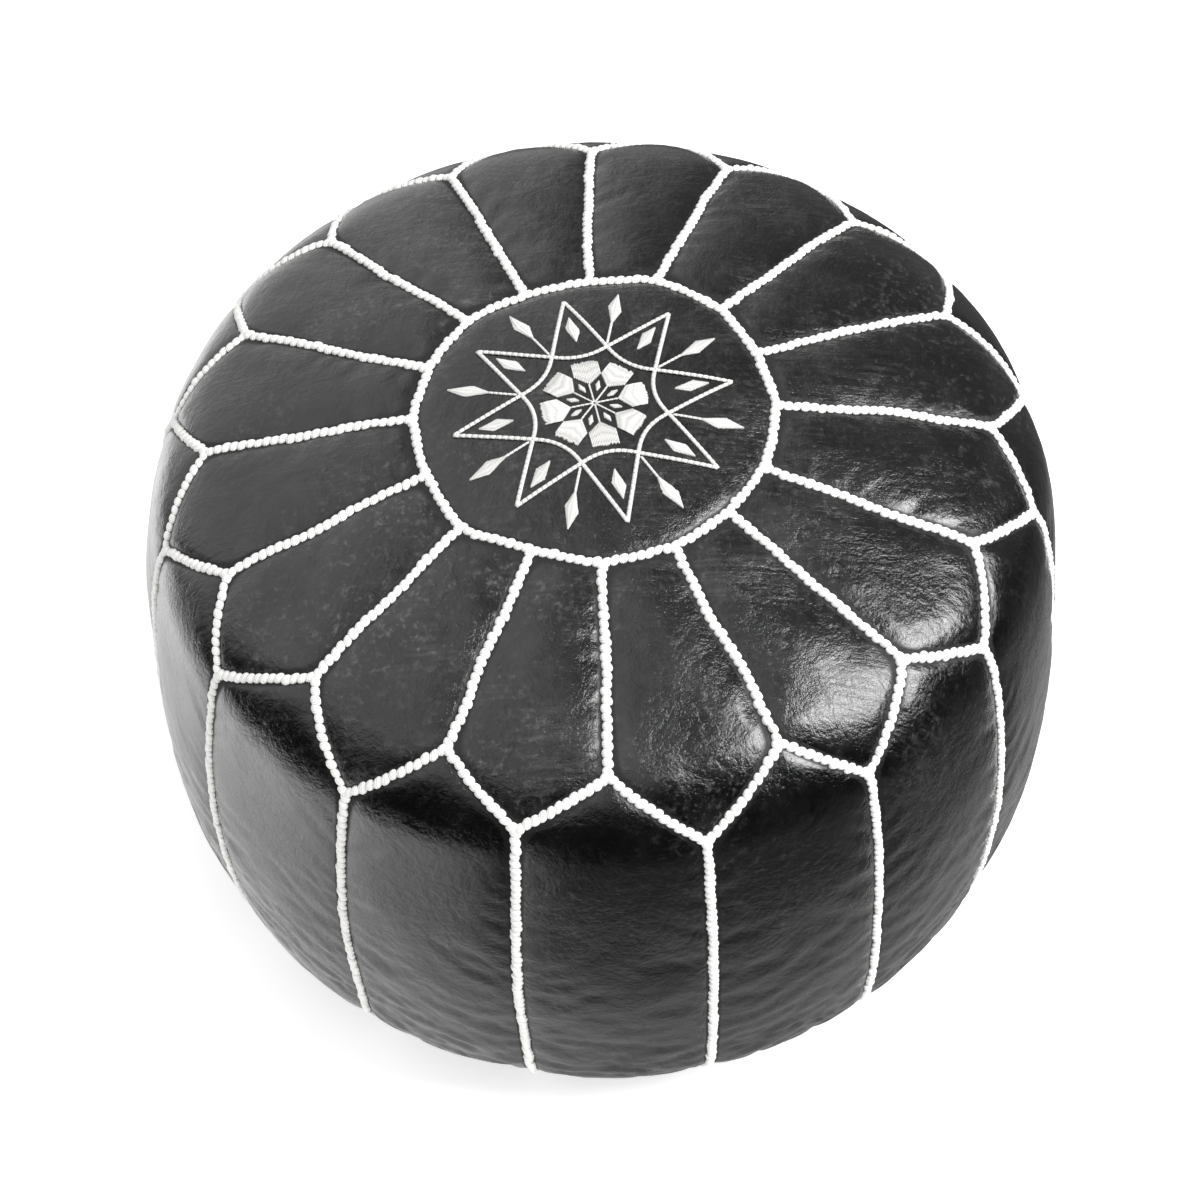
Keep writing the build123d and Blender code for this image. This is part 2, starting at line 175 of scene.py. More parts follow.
class Finish:
    """A procedural material and the nodes in it."""

    def __init__(self, name, world=False):
        library = bpy.data.worlds if world else bpy.data.materials
        self.material = library.new(name)
        self.material.use_nodes = True
        self.tree = self.material.node_tree
        self.shader = self.tree.nodes["Background" if world else "Principled BSDF"]

    def node(self, kind, settings=None, values=None, output=0):
        """Add a node of a kind, set it up, feed its sockets, and return one output."""
        added = self.tree.nodes.new("ShaderNode" + kind)
        for key, value in (settings or {}).items():
            setattr(added, key, value)
        pairs = values.items() if isinstance(values, dict) else enumerate(values or [])
        for key, value in pairs:
            self.feed(added.inputs[key], value)
        return Wire(self, added.outputs[output])

    def feed(self, socket, value):
        if isinstance(value, Wire):
            self.tree.links.new(value.socket, socket)
        else:
            socket.default_value = value

    def place(self, scale=(1.0, 1.0, 1.0), turn=(0.0, 0.0, 0.0), source="Object"):
        """Object or UV coordinates, scaled and turned."""
        outputs = {"Object": 3, "UV": 2}
        coordinates = self.node("TexCoord", output=outputs[source])
        return self.node("Mapping", {}, {"Vector": coordinates, "Rotation": turn, "Scale": scale})

    def noise(self, scale, detail=3.0, rough=0.55, twist=0.0, where=None):
        values = {"Scale": scale, "Detail": detail, "Roughness": rough, "Distortion": twist}
        values["Vector"] = where or self.place()
        return self.node("TexNoise", {}, values)

    def noise_colour(self, scale):
        """Colour output of a noise, for shifting coordinates."""
        values = {"Scale": scale, "Detail": 3.0, "Vector": self.place()}
        return self.node("TexNoise", {}, values, output=1)

    def cells(self, scale, feature="F1", where=None):
        values = {"Scale": scale, "Vector": where or self.place()}
        return self.node("TexVoronoi", {"feature": feature}, values)

    def mark(self, name):
        """A number stored on the points of the piece."""
        return self.node("Attribute", {"attribute_name": name}, {}, output=2)

    def blend(self, factor, low, high):
        """Colour mixed from low to high by a factor."""
        settings = {"data_type": "RGBA"}
        values = {0: factor, 6: self.colour(low), 7: self.colour(high)}
        return self.node("Mix", settings, values, output=2)

    def colour(self, value):
        return value if isinstance(value, Wire) else (*value[:3], 1.0)

    def bump(self, height, strength, distance, under=None):
        values = {"Height": height, "Strength": strength, "Distance": distance}
        if under is not None:
            values["Normal"] = under
        return self.node("Bump", {}, values)

    def shade(self, **values):
        """Set the shader's sockets; underscores stand for the spaces in their names."""
        for key, value in values.items():
            self.feed(self.shader.inputs[key.replace("_", " ")], value)
        return self.material


def leather_finish(name, colours, gloss):
    """Dyed glossy leather: mottled, finely creased, grained, rubbed grey in patches, and painted dark
    along the seams as shade.
    """
    finish = Finish(name)
    tone = finish.mark("tone")
    seam = finish.mark("seam")
    broad = finish.noise(9.0, 5.0, 0.6)
    patches = finish.noise(38.0, 6.0, 0.7, 0.4)
    mottle = finish.noise(210.0, 4.0, 0.65, 0.3)
    specks = finish.noise(420.0, 4.0, 0.7).ramp(0.56, 0.74)
    warped = finish.node(
        "VectorMath", {"operation": "ADD"},
        [finish.place(), finish.node(
            "VectorMath", {"operation": "SCALE"},
            {0: finish.noise_colour(40.0), "Scale": 0.012},
        )],
    )
    zone = finish.noise(15.0, 2.0, 0.5).ramp(0.5, 0.66)
    crease = (1.0 - finish.cells(95.0, "DISTANCE_TO_EDGE", warped).ramp(0.0, 0.1)) * zone
    streaks = 0.0
    for turn, shift in ((0.6, 0.44), (-0.9, 0.5)):
        where = finish.place((40.0, 420.0, 90.0), (0.0, 0.0, turn))
        patch = finish.noise(12.0 + 5.0 * turn, 2.0, 0.5).ramp(shift, shift + 0.2)
        streaks = finish.noise(1.0, 3.0, 0.6, 0.6, where).ramp(0.42, 0.72) * patch + streaks
    grain = finish.cells(1100.0)
    rubbed = finish.noise(17.0, 3.0, 0.55).ramp(0.38, 0.66)
    flecks = mottle.ramp(0.5, 0.75) * 0.6 + specks * 0.45 + streaks * 0.4 + crease * 0.1
    wear = patches.ramp(0.35, 0.8) * 0.15 + flecks * (0.12 + 0.9 * rubbed)
    # Near the seams the rubbed grey is left out, so the leather there is painted dark as shade beside
    # the stitches; its roughness rises and its coat goes too.
    edge = seam.ramp(0.4, 0.7)
    wear = wear * (0.15 + 1.1 * tone) * (1.0 - edge)
    base = finish.blend(wear, colours.leather, colours.worn_leather)
    rough = gloss + broad.ramp(0.3, 0.75) * 0.05 + patches.ramp(0.35, 0.8) * 0.09
    rough = rough + crease * 0.06 + streaks * 0.06 + specks * 0.08 + edge * 0.4
    surface = finish.bump(grain, 0.12, 0.0003)
    surface = finish.bump(mottle, 0.75, 0.0006, surface)
    surface = finish.bump(patches, 0.6, 0.003, surface)
    surface = finish.bump(streaks, 0.35, 0.0004, surface)
    surface = finish.bump(crease * -1.0, 0.25, 0.0004, surface)
    coat = 0.35 - edge * 0.35
    return finish.shade(
        Base_Color=base, Roughness=rough, Normal=surface, Coat_Weight=coat, Coat_Roughness=0.12,
        Specular_IOR_Level=0.6,
    )


def thread_finish(name, colour, strands):
    """Spun cotton thread, with fine strands along each stitch and painted shade between them."""
    finish = Finish(name)
    strand = finish.node(
        "TexWave", {"wave_type": "BANDS", "bands_direction": "X"},
        {"Vector": finish.place(source="UV"), "Scale": strands, "Distortion": 1.6,
         "Detail": 2.0, "Detail Scale": 1.5},
    )
    fuzz = finish.noise(900.0, 4.0, 0.7)
    soil = finish.noise(26.0, 4.0, 0.6).ramp(0.5, 0.8)
    # The darker bands between the strands are painted shade; the fuzz adds random tone and the soil is
    # dirt.
    shade = strand.ramp(0.0, 0.6) * 0.5 + fuzz * 0.3 + 0.4 - soil * 0.15
    dark = tuple(channel * 0.6 for channel in colour)
    surface = finish.bump(strand, 0.55, 0.0003)
    surface = finish.bump(fuzz, 0.25, 0.0003, surface)
    return finish.shade(
        Base_Color=finish.blend(shade, dark, colour), Roughness=0.62 + fuzz * 0.2, Normal=surface,
        Sheen_Weight=0.25, Sheen_Roughness=0.5,
    )


def wadding_finish(colour):
    """Matted cotton wadding."""
    finish = Finish("cotton_wadding")
    clumps = finish.noise(45.0, 6.0, 0.65, 0.8)
    fibres = finish.noise(600.0, 5.0, 0.75, 1.5)
    dark = tuple(channel * 0.7 for channel in colour)
    surface = finish.bump(clumps, 0.8, 0.006)
    surface = finish.bump(fibres, 0.5, 0.001, surface)
    base = finish.blend(clumps * 0.7 + fibres * 0.4, dark, colour)
    return finish.shade(Base_Color=base, Roughness=0.85 + fibres * 0.1, Normal=surface,
                        Sheen_Weight=0.3)


def tape_finish():
    """Woven black zipper tape, a herringbone of fine ribs."""
    finish = Finish("woven_tape")
    ribs = finish.node(
        "TexWave", {"wave_type": "BANDS", "bands_direction": "DIAGONAL"},
        {"Vector": finish.place(), "Scale": 420.0, "Distortion": 0.5},
    )
    lint = finish.noise(800.0, 3.0, 0.7)
    base = finish.blend(ribs * 0.6 + lint * 0.4, (0.012, 0.012, 0.013), (0.05, 0.05, 0.052))
    return finish.shade(Base_Color=base, Roughness=0.7 + lint * 0.2,
                        Normal=finish.bump(ribs, 0.5, 0.0003))


def metal_finish(colour):
    """Rubbed brass with fine scratches and darker stains."""
    finish = Finish("rubbed_brass")
    stain = finish.noise(160.0, 5.0, 0.65)
    scratch = finish.noise(700.0, 3.0, 0.6, 0.0, finish.place((1.0, 9.0, 9.0)))
    dark = tuple(channel * 0.42 for channel in colour)
    base = finish.blend(stain.ramp(0.3, 0.7), dark, colour)
    return finish.shade(
        Base_Color=base, Metallic=1.0, Roughness=0.24 + stain * 0.16 + scratch * 0.14,
        Normal=finish.bump(scratch, 0.2, 0.0001),
    )


# Body shape


def arc_points(centre, radius, start, end, count=240):
    """Points on an arc in section, from one angle to another."""
    angles = np.linspace(start, end, count)
    return np.column_stack((centre[0] + radius * np.cos(angles), centre[1] + radius * np.sin(angles)))


def angle_of(centre, point):
    return np.arctan2(point[1] - centre[1], point[0] - centre[0])


class Meridian:
    """Outer line of the cover, by distance run along it from the top centre to the base centre."""

    def __init__(self, sizes):
        width = max(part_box(name)[1][0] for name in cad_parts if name.startswith("side_panel"))
        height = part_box("medallion")[1][2]
        dome = np.array((0.0, height - sizes.dome_arc))
        flank = np.array((width - sizes.flank_arc, sizes.widest_height))
        to_dome = sizes.dome_arc - sizes.shoulder_arc
        to_flank = sizes.flank_arc - sizes.shoulder_arc
        gap = flank - dome
        span = hypot(*gap)
        along = (to_dome**2 - to_flank**2 + span**2) / (2 * span)
        across = sqrt(to_dome**2 - along**2)
        aim = gap / span
        shoulder = dome + aim * along + np.array((aim[1], -aim[0])) * across
        reach = sqrt((sizes.flank_arc - sizes.foot_arc) ** 2
                     - (sizes.widest_height - sizes.foot_arc) ** 2)
        foot = np.array((flank[0] + reach, sizes.foot_arc))
        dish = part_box("base_half_front")[1][2] - sizes.leather
        ring = foot[0] - STANDING_RING
        bend = (DISH_SLOPE**2 + dish**2) / (4 * dish)
        turn = np.arctan2(DISH_SLOPE / 2, bend - dish / 2)
        dome_end = angle_of(dome, shoulder)
        flank_start = angle_of(flank, shoulder)
        flank_end = angle_of(flank, foot)
        lines = (
            arc_points(dome, sizes.dome_arc, pi / 2, dome_end),
            arc_points(shoulder, sizes.shoulder_arc, dome_end, flank_start),
            arc_points(flank, sizes.flank_arc, flank_start, flank_end),
            arc_points(foot, sizes.foot_arc, flank_end, -pi / 2),
            arc_points((ring, bend), bend, -pi / 2, -pi / 2 - turn, 40),
            arc_points((ring - DISH_SLOPE, dish - bend), bend, pi / 2 - turn, pi / 2, 40),
            np.array(((0.0, dish),)),
        )
        line = np.concatenate(lines)
        steps = np.hypot(*np.diff(line, axis=0).T)
        line = line[np.concatenate(([True], steps > 1e-6))]
        run = np.concatenate(([0.0], np.cumsum(np.hypot(*np.diff(line, axis=0).T))))
        self.run = np.arange(0.0, run[-1], 0.0005)
        self.radius = np.interp(self.run, run, line[:, 0])
        self.height = np.interp(self.run, run, line[:, 1])
        slope_r = np.gradient(self.radius)
        slope_z = np.gradient(self.height)
        length = np.hypot(slope_r, slope_z)
        self.out_r = -slope_z / length
        self.out_z = slope_r / length
        self.widest = int(np.argmax(self.radius))

    def upper_run(self, radius):
        """Run of the point on the upper side at a radius."""
        part = slice(0, self.widest + 1)
        return float(np.interp(radius, self.radius[part], self.run[part]))

    def lower_run(self, radius):
        """Run of the point on the lower side at a radius."""
        part = slice(self.widest, len(self.run))
        return float(np.interp(-radius, -self.radius[part], self.run[part]))

    def spots(self, turn, run):
        """Points and outward directions for arrays of turns, in degrees, and runs."""
        turn = np.radians(turn)
        radius = np.interp(run, self.run, self.radius)
        out_r = np.interp(run, self.run, self.out_r)
        ahead = np.stack((np.cos(turn), np.sin(turn)), axis=-1)
        point = np.concatenate(
            (ahead * radius[..., None], np.interp(run, self.run, self.height)[..., None]), axis=-1
        )
        out = np.concatenate(
            (ahead * out_r[..., None], np.interp(run, self.run, self.out_z)[..., None]), axis=-1
        )
        return point, out


# Width of the flat ring that the pouf stands on, and of the slope from it up to the dish.
STANDING_RING = 30.0 * MM
DISH_SLOPE = 16.0 * MM
# The medallion and its embroidery are sewn a little to the left and to the front of the axis.
MEDALLION_SHIFT = (-1.0 * MM, -3.0 * MM)
SEAM_MARK_WIDTH = 4.4 * MM


class Layout:
    """Where the seams of this one hand made cover run, each a little off its even place."""

    def __init__(self, meridian, sizes):
        middle = np.radians(FIRST_SEAM + STEP / 2)
        points = node_points(PETAL_NODES[0])
        radius = np.hypot(points[:, 0], points[:, 1])
        turn = np.degrees(np.arctan2(points[:, 1], points[:, 0]) - middle)
        shoulder_radius = radius[np.abs(turn) > STEP / 2 - 0.2].max()
        ring_radius = (box_radius("medallion") + radius.min()) / 2
        base_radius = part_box("base_half_front")[1][0]
        tip_radius = radius.max()
        self.ring_run = meridian.upper_run(ring_radius)
        self.base_run = meridian.lower_run(base_radius)
        self.draw = np.random.default_rng(1)
        seams = np.radians(FIRST_SEAM + STEP * np.arange(PANELS))
        aside = MEDALLION_SHIFT[1] * np.cos(seams) - MEDALLION_SHIFT[0] * np.sin(seams)
        outward = MEDALLION_SHIFT[0] * np.cos(seams) + MEDALLION_SHIFT[1] * np.sin(seams)
        self.ring_turn = np.degrees((aside + self.uneven(sizes.seam_wander)) / ring_radius)
        self.ring_shift = outward + self.uneven(sizes.seam_wander)
        self.shoulder_turn = np.degrees(self.uneven(sizes.seam_wander) / shoulder_radius)
        self.shoulder_run = meridian.upper_run(shoulder_radius) + self.uneven(sizes.seam_wander)
        self.tip_turn = np.degrees(self.uneven(sizes.tip_wander) / tip_radius)
        self.tip_run = meridian.upper_run(tip_radius) + self.uneven(sizes.tip_wander)
        self.foot_turn = np.degrees(self.uneven(sizes.tip_wander) / tip_radius)

    def uneven(self, spread):
        """How far hand sewing is off its even place, an amount for each seam."""
        return self.draw.normal(0.0, spread, PANELS).clip(-2 * spread, 2 * spread)

    def waver(self, seed, along):
        """Small sideways wander of a hand cut seam, none at its ends."""
        wander = np.array([noise.noise((seed * 7.3, 3.0 * value, 0.5)) for value in along])
        return wander * np.sin(pi * along) * 0.8

    def radial(self, seam, along):
        """Turn of a radial seam along its length, 0 at the medallion and 1 at the shoulder."""
        index = seam % PANELS
        even = FIRST_SEAM + seam * STEP
        start = even + self.ring_turn[index]
        end = even + self.shoulder_turn[index]
        return start + (end - start) * along + self.waver(index, along)

    def side(self, seam, along):
        """Turn of a side seam, 0 at the petal's tip and 1 at the base."""
        index = seam % PANELS
        even = FIRST_SEAM + (seam + 0.5) * STEP
        start = even + self.tip_turn[index]
        end = even + self.foot_turn[index]
        return start + (end - start) * along + self.waver(index + 40, along)

    def edge(self, left, middle, right, across):
        """Values along a bent edge from left to right through the middle."""
        first = left + (middle - left) * across * 2
        second = middle + (right - middle) * (across * 2 - 1)
        return np.where(across < 0.5, first, second)

    def petal(self, index, down, across):
        """Turn, run and distance to the nearest seam over one petal."""
        left = self.radial(index, down)[:, None]
        right = self.radial(index + 1, down)[:, None]
        tip = FIRST_SEAM + (index + 0.5) * STEP + self.tip_turn[index]
        corner_left = self.radial(index, np.ones(1))[0]
        corner_right = self.radial(index + 1, np.ones(1))[0]
        edge_turn = self.edge(corner_left, tip, corner_right, across)
        edge_run = self.edge(
            self.shoulder_run[index], self.tip_run[index],
            self.shoulder_run[(index + 1) % PANELS], across,
        )
        bend = edge_turn - (corner_left + (corner_right - corner_left) * across)
        turn = left + (right - left) * across + bend * down[:, None] ** 2
        first, last = self.ring_shift[index], self.ring_shift[(index + 1) % PANELS]
        ease = across**2 * (3 - 2 * across)
        start_run = self.ring_run + first + (last - first) * ease - 0.7 * MM * np.sin(pi * across)
        run = start_run + (edge_run - start_run) * down[:, None]
        return turn, run, (right - left), run - start_run, edge_run - run

    def side_panel(self, index, down, across):
        """Turn, run and distance to the nearest seam over one side panel."""
        left = self.side(index - 1, down)[:, None]
        right = self.side(index, down)[:, None]
        corner_left = self.side(index - 1, np.zeros(1))[0]
        corner_right = self.side(index, np.zeros(1))[0]
        apex = FIRST_SEAM + index * STEP + self.shoulder_turn[index]
        edge_turn = self.edge(corner_left, apex, corner_right, across)
        edge_run = self.edge(
            self.tip_run[(index - 1) % PANELS], self.shoulder_run[index], self.tip_run[index],
            across,
        )
        bend = edge_turn - (corner_left + (corner_right - corner_left) * across)
        turn = left + (right - left) * across + bend * (1 - down[:, None]) ** 2
        run = edge_run + (self.base_run - edge_run) * down[:, None]
        return turn, run, (right - left), run - edge_run, self.base_run - run


def seam_mark(distance):
    """How near a point is to a seam, from 1 on it to nothing a few millimetres off."""
    return np.exp(-((distance / SEAM_MARK_WIDTH) ** 2))


def sampled(points, amount):
    """An amount worked out at each point of an array of points."""
    values = np.array([amount(point) for point in points.reshape(-1, 3)])
    return values.reshape(points.shape[:-1])


def seam_distance(meridian, run, width, before, after, across):
    """Smooth distance to the nearest seam, exactly nothing on the seams."""
    radius = np.interp(run, meridian.run, meridian.radius)
    side = np.minimum(across, 1 - across) * np.radians(width) * radius
    parts = [np.maximum(part, 1e-7) for part in (side, before * 0.85, after * 0.85)]
    return 1.0 / sum(1.0 / part for part in parts)


def lump(point):
    """Unevenness of the filling under the leather."""
    place = Vector(point)
    return 1.5 * noise.noise(place * 11.0) + 0.8 * noise.noise(place * 26.0)


def pucker(point):
    """Small gathers near the seams."""
    return noise.noise(Vector((point[0] * 95.0, point[1] * 95.0, point[2] * 95.0)))


def fold(point):
    """Long level wrinkles of the lower sides."""
    turn = np.arctan2(point[1], point[0])
    height = point[2]
    broad = noise.noise(
        (5.5 * cos(turn), 5.5 * sin(turn) + 9.0, height * 62.0 + 3.0 * sin(3.0 * turn))
    )
    return broad + 0.5 * noise.noise((9.0 * cos(turn), 9.0 * sin(turn) + 4.0, height * 135.0))


def settle(points, out, distance, low_wrinkle, sizes):
    """Seam dips, lumps of the filling and wrinkles, added to points along their outward side."""
    lumps = sampled(points, lump)
    puckers = sampled(points, pucker)
    folds = sampled(points, fold)
    inside = 1.0 - np.exp(-distance / (9 * MM))
    tucked = 1.0 + 1.4 * np.clip(1.0 - points[..., 2] / (14 * MM), 0.0, 1.0)
    lift = lumps * 0.9 - tucked * sizes.seam_sink / MM * np.exp(-((distance / (5.5 * MM)) ** 1.4))
    lift = lift + puckers * 0.55 * inside * np.exp(-distance / (16 * MM))
    creased = 1.0 - np.minimum(np.abs(folds) * 2.4, 1.0)
    lift = lift - (creased**2) * 1.7 * inside * low_wrinkle
    moved = points + out * (lift * MM)[..., None]
    moved[..., 2] = np.maximum(moved[..., 2], 0.0)
    return moved


def refined(grid):
    """Grid of points with a smooth new row between each two, and the same for columns."""
    for _ in range(2):
        count = len(grid)
        ends = np.concatenate((2 * grid[:1] - grid[1:2], grid, 2 * grid[-1:] - grid[-2:-1]))
        middle = (9 * (ends[1:-2] + ends[2:-1]) - ends[:-3] - ends[3:]) / 16
        fine = np.empty((2 * count - 1, *grid.shape[1:]))
        fine[0::2] = grid
        fine[1::2] = middle
        grid = np.swapaxes(fine, 0, 1)
    return grid


# Mesh making


def clean_start():
    """Leave edit mode and drop every selection."""
    if bpy.context.object and bpy.context.object.mode != "OBJECT":
        bpy.ops.object.mode_set(mode="OBJECT")
    bpy.ops.object.select_all(action="DESELECT")


def new_piece(name, points, faces, material, marks=None):
    """Mesh object from points and faces, smooth, with numbers stored on its points."""
    mesh = bpy.data.meshes.new(name)
    mesh.from_pydata(points.tolist(), [], faces)
    for mark, values in (marks or {}).items():
        layer = mesh.attributes.new(mark, "FLOAT", "POINT")
        layer.data.foreach_set("value", np.asarray(values, dtype=np.float32).ravel())
    mesh.polygons.foreach_set("use_smooth", [True] * len(mesh.polygons))
    mesh.materials.append(material)
    mesh.update()
    piece = bpy.data.objects.new(name, mesh)
    bpy.context.scene.collection.objects.link(piece)
    return piece


def settle_in(piece, body, slot, *nodes):
    """Fix a piece to its body and hide the CAD nodes that it stands for; the material slot is not used.
    """
    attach(piece, body)
    if nodes:
        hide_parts(*nodes)


def finish_with(piece, kind, **settings):
    """Add a modifier, set it up and apply it."""
    clean_start()
    bpy.context.view_layer.objects.active = piece
    piece.select_set(True)
    modifier = piece.modifiers.new(kind.title(), kind)
    for key, value in settings.items():
        setattr(modifier, key, value)
    bpy.ops.object.modifier_apply(modifier=modifier.name)
    piece.select_set(False)


def grid_faces(rows, columns):
    """Quads over a grid of points, facing outwards for rows that run down the body."""
    corners = []
    for row in range(rows - 1):
        for column in range(columns - 1):
            start = row * columns + column
            corners.append((start, start + columns, start + columns + 1, start + 1))
    return corners


def ring_faces(rows, columns):
    """Quads over rows of points that each close into a ring."""
    corners = []
    for row in range(rows - 1):
        for column in range(columns):
            start = row * columns + column
            after = row * columns + (column + 1) % columns
            corners.append((start, start + columns, after + columns, after))
    return corners


def copies(name, pattern, frames, material):
    """One piece made of copies of a pattern mesh, one set at each 3x4 frame."""
    count = len(pattern.vertices)
    base = np.empty(count * 3)
    pattern.vertices.foreach_get("co", base)
    base = np.column_stack((base.reshape(-1, 3), np.ones(count)))
    placed = np.einsum("fij,vj->fvi", np.array(frames), base).reshape(-1, 3)
    shapes = [tuple(polygon.vertices) for polygon in pattern.polygons]
    faces = [
        tuple(corner + index * count for corner in shape)
        for index in range(len(frames))
        for shape in shapes
    ]
    piece = new_piece(name, placed, faces, material)
    corners = np.empty(len(pattern.loops) * 2)
    pattern.uv_layers[0].data.foreach_get("uv", corners)
    layer = piece.data.uv_layers.new(name="UVMap")
    layer.data.foreach_set("uv", np.tile(corners, len(frames)))
    return piece


def set_frame(origin, along, out, length, width, height, slant=0.0):
    """3x4 frame whose x runs along a seam, y across it and z outwards, scaled to size."""
    along = along / np.linalg.norm(along)
    out = out - along * np.dot(out, along)
    out = out / np.linalg.norm(out)
    across = np.cross(out, along)
    across_slanted = across + along * slant
    return np.column_stack((along * length, across_slanted * width, out * height, origin))


def strand_uv(mesh):
    """UV map straight from a pattern's own length and width."""
    if not mesh.uv_layers:
        mesh.uv_layers.new(name="UVMap")
    spots = [0.0] * (len(mesh.loops) * 2)
    for index, loop in enumerate(mesh.loops):
        point = mesh.vertices[loop.vertex_index].co
        spots[2 * index] = point.x
        spots[2 * index + 1] = point.y
    mesh.uv_layers[0].data.foreach_set("uv", spots)


def taken_mesh(name):
    """Mesh of the active object, kept while the object goes."""
    source = bpy.context.object
    mesh = source.data
    mesh.name = name
    bpy.data.objects.remove(source)
    return mesh


def overcast_pattern():
    """One overcast stitch, a fat rounded loop of thread that lies across the seam."""
    clean_start()
    bpy.ops.mesh.primitive_uv_sphere_add(segments=10, ring_count=7, radius=0.5)
    bpy.ops.object.mode_set(mode="EDIT")
    bpy.ops.mesh.select_all(action="SELECT")
    bpy.ops.transform.rotate(value=pi / 2, orient_axis="X", center_override=(0, 0, 0))
    bpy.ops.object.mode_set(mode="OBJECT")
    mesh = taken_mesh("overcast_stitch")
    for vertex in mesh.vertices:
        point = vertex.co
        blunt = 1.0 + 0.35 * (2 * abs(point.y)) ** 2 * (1 - 2 * abs(point.y))
        point.x *= blunt
        point.z = point.z * blunt - 0.18 * (2 * point.y) ** 2
    strand_uv(mesh)
    return mesh


def satin_pattern():
    """One satin strand, a thin bar with rounded ends, a little arched."""
    clean_start()
    bpy.ops.mesh.primitive_cylinder_add(
        vertices=6, radius=0.5, depth=0.86, rotation=(0, pi / 2, 0), end_fill_type="NGON"
    )
    bpy.ops.object.transform_apply(location=False, rotation=True, scale=False)
    bpy.ops.object.mode_set(mode="EDIT")
    shape = bmesh.from_edit_mesh(bpy.context.object.data)
    for side in (-1, 1):
        bpy.ops.mesh.select_all(action="DESELECT")
        for face in shape.faces:
            face.select_set(face.normal.x * side > 0.9)
        bpy.ops.mesh.extrude_region_move(TRANSFORM_OT_translate={"value": (0.07 * side, 0, 0)})
        bpy.ops.transform.resize(value=(1.0, 0.45, 0.45), center_override=(0.5 * side, 0, 0))
    bpy.ops.mesh.select_all(action="SELECT")
    bpy.ops.mesh.bisect(plane_co=(0, 0, 0), plane_no=(1, 0, 0))
    bpy.ops.object.mode_set(mode="OBJECT")
    mesh = taken_mesh("satin_strand")
    for vertex in mesh.vertices:
        vertex.co.z += 0.3 * (1 - (2 * vertex.co.x) ** 2)
    strand_uv(mesh)
    return mesh


def resampled(path, out, pitch):
    """Points, directions and outward sides at even steps along a path."""
    steps = np.linalg.norm(np.diff(path, axis=0), axis=1)
    run = np.concatenate(([0.0], np.cumsum(steps)))
    count = max(2, int(round(run[-1] / pitch)))
    spots = (np.arange(count) + 0.5) * run[-1] / count
    places = np.column_stack([np.interp(spots, run, path[:, i]) for i in range(3)])
    sides = np.column_stack([np.interp(spots, run, out[:, i]) for i in range(3)])
    ahead = np.column_stack([np.interp(spots + pitch / 2, run, path[:, i]) for i in range(3)])
    behind = np.column_stack([np.interp(spots - pitch / 2, run, path[:, i]) for i in range(3)])
    return places, ahead - behind, sides


# Cover


def relaxed(grids, outs, sizes):
    """Panels blown up by the filling, as cloth whose seams are held, each grid moved in place."""
    stacked = np.concatenate([grid.reshape(-1, 3) for grid in grids])
    keys = np.round(stacked / 1e-5).astype(np.int64)
    _, first, back = np.unique(keys, axis=0, return_index=True, return_inverse=True)
    back = back.reshape(-1)
    faces = []
    held = set()
    offset = 0
    for grid in grids:
        rows, columns = grid.shape[:2]
        index = back[offset:offset + rows * columns]
        for quad in grid_faces(rows, columns):
            faces.append([int(index[corner]) for corner in quad])
        numbers = index.reshape(rows, columns)
        rim = (numbers[0], numbers[-1], numbers[:, 0], numbers[:, -1])
        held.update(int(value) for value in np.concatenate(rim))
        offset += rows * columns
    mesh = bpy.data.meshes.new("stretched_leather")
    mesh.from_pydata(stacked[first].tolist(), [], faces)
    cover = bpy.data.objects.new("stretched_leather", mesh)
    bpy.context.scene.collection.objects.link(cover)
    group = cover.vertex_groups.new(name="sewn")
    group.add(sorted(held), 1.0, "REPLACE")
    cloth = cover.modifiers.new("Stuffing", "CLOTH")
    settings = cloth.settings
    settings.quality = 6
    settings.mass = 0.4
    settings.tension_stiffness = 60
    settings.compression_stiffness = 25
    settings.shear_stiffness = 15
    settings.bending_stiffness = 1.5
    settings.air_damping = 4
    settings.use_pressure = True
    settings.uniform_pressure_force = 5
    settings.shrink_min = -sizes.slack
    settings.vertex_group_mass = "sewn"
    settings.effector_weights.gravity = 0.0
    cloth.collision_settings.use_collision = False
    cloth.point_cache.frame_end = 30
    scene = bpy.context.scene
    for step in range(1, 26):
        scene.frame_set(step)
    shape = cover.evaluated_get(bpy.context.evaluated_depsgraph_get()).to_mesh()
    moved = np.empty(len(shape.vertices) * 3)
    shape.vertices.foreach_get("co", moved)
    moved = moved.reshape(-1, 3)[back]
    bpy.data.objects.remove(cover)
    scene.frame_set(1)
    placed = []
    offset = 0
    for grid, out in zip(grids, outs):
        count = grid.shape[0] * grid.shape[1]
        shift = moved[offset:offset + count].reshape(grid.shape) - grid
        swell = np.sum(shift * out, axis=-1, keepdims=True)
        slide = shift - out * swell
        slip = np.linalg.norm(slide, axis=-1, keepdims=True)
        slide = slide * np.minimum(1.0, 3 * MM / np.maximum(slip, 1e-9))
        swell = sizes.crown * np.tanh(swell / sizes.crown)
        placed.append(grid + out * swell + slide)
        offset += count
    return placed


